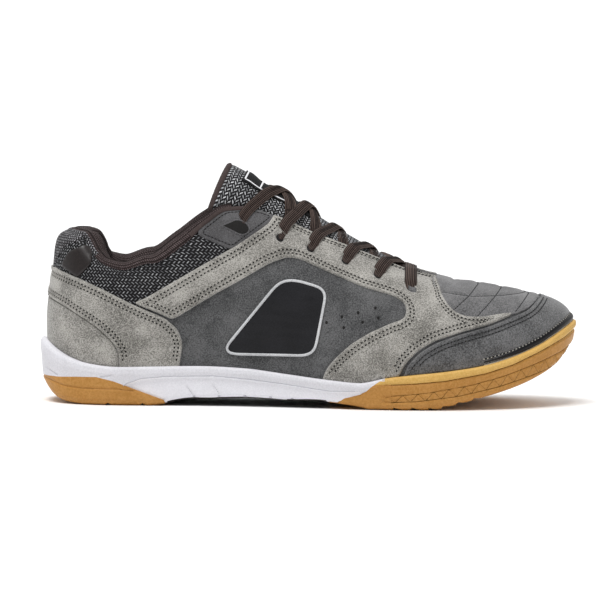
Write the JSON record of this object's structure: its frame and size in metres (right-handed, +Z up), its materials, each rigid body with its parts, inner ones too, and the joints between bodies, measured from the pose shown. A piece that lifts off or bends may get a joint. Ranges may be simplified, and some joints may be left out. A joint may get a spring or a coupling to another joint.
{
  "type": "indoor soccer shoe",
  "caption": "Low-cut right shoe for indoor football: hollow suede and nubuck upper, open collar, padded tongue, laced throat, white cup midsole, flat gum outsole",
  "frame": {"origin": "on the floor under the middle of the shoe's bounding box", "axes": "+X from heel to toe, +Y to the big-toe side, +Z up"},
  "size_m": [0.29, 0.1039, 0.1291],
  "materials": {
    "white_eva": "matte moulded foam",
    "gum_rubber": "semi-gloss moulded gum rubber",
    "dark_nubuck": "matte nubuck",
    "toe_nubuck": "matte nubuck",
    "light_suede": "napped suede",
    "smooth_leather": "smooth, slightly glossy",
    "inset_film": "matte film with a pale outline",
    "knit_lining": "ribbed knit",
    "tongue_mesh": "open weave mesh",
    "woven_label": "plain woven patch",
    "insole_foam": "fabric-covered foam",
    "lace_cord": "flat ribbed braid"
  },
  "bodies": {
    "root": {"collar_roll": "knit_lining", "eyelet_tab_lateral": "toe_nubuck", "eyelet_tab_medial": "toe_nubuck", "heel_counter_band": "light_suede", "heel_counter_inset": "light_suede", "heel_patch_lateral": "smooth_leather", "heel_patch_medial": "smooth_leather", "insole": "insole_foam", "lace_bar": "lace_cord", "lace_crossing_1": "lace_cord", "lace_crossing_2": "lace_cord", "lace_crossing_3": "lace_cord", "lace_crossing_4": "lace_cord", "lace_crossing_5": "lace_cord", "midsole": "white_eva", "outsole_forefoot": "gum_rubber", "outsole_heel": "gum_rubber", "side_inset_lateral": "inset_film", "side_inset_medial": "inset_film", "side_overlay_lateral": "light_suede", "side_overlay_medial": "light_suede", "toe_cap": "toe_nubuck", "tongue": "tongue_mesh", "tongue_label": "woven_label", "upper": "dark_nubuck"}
  },
  "joints": []
}
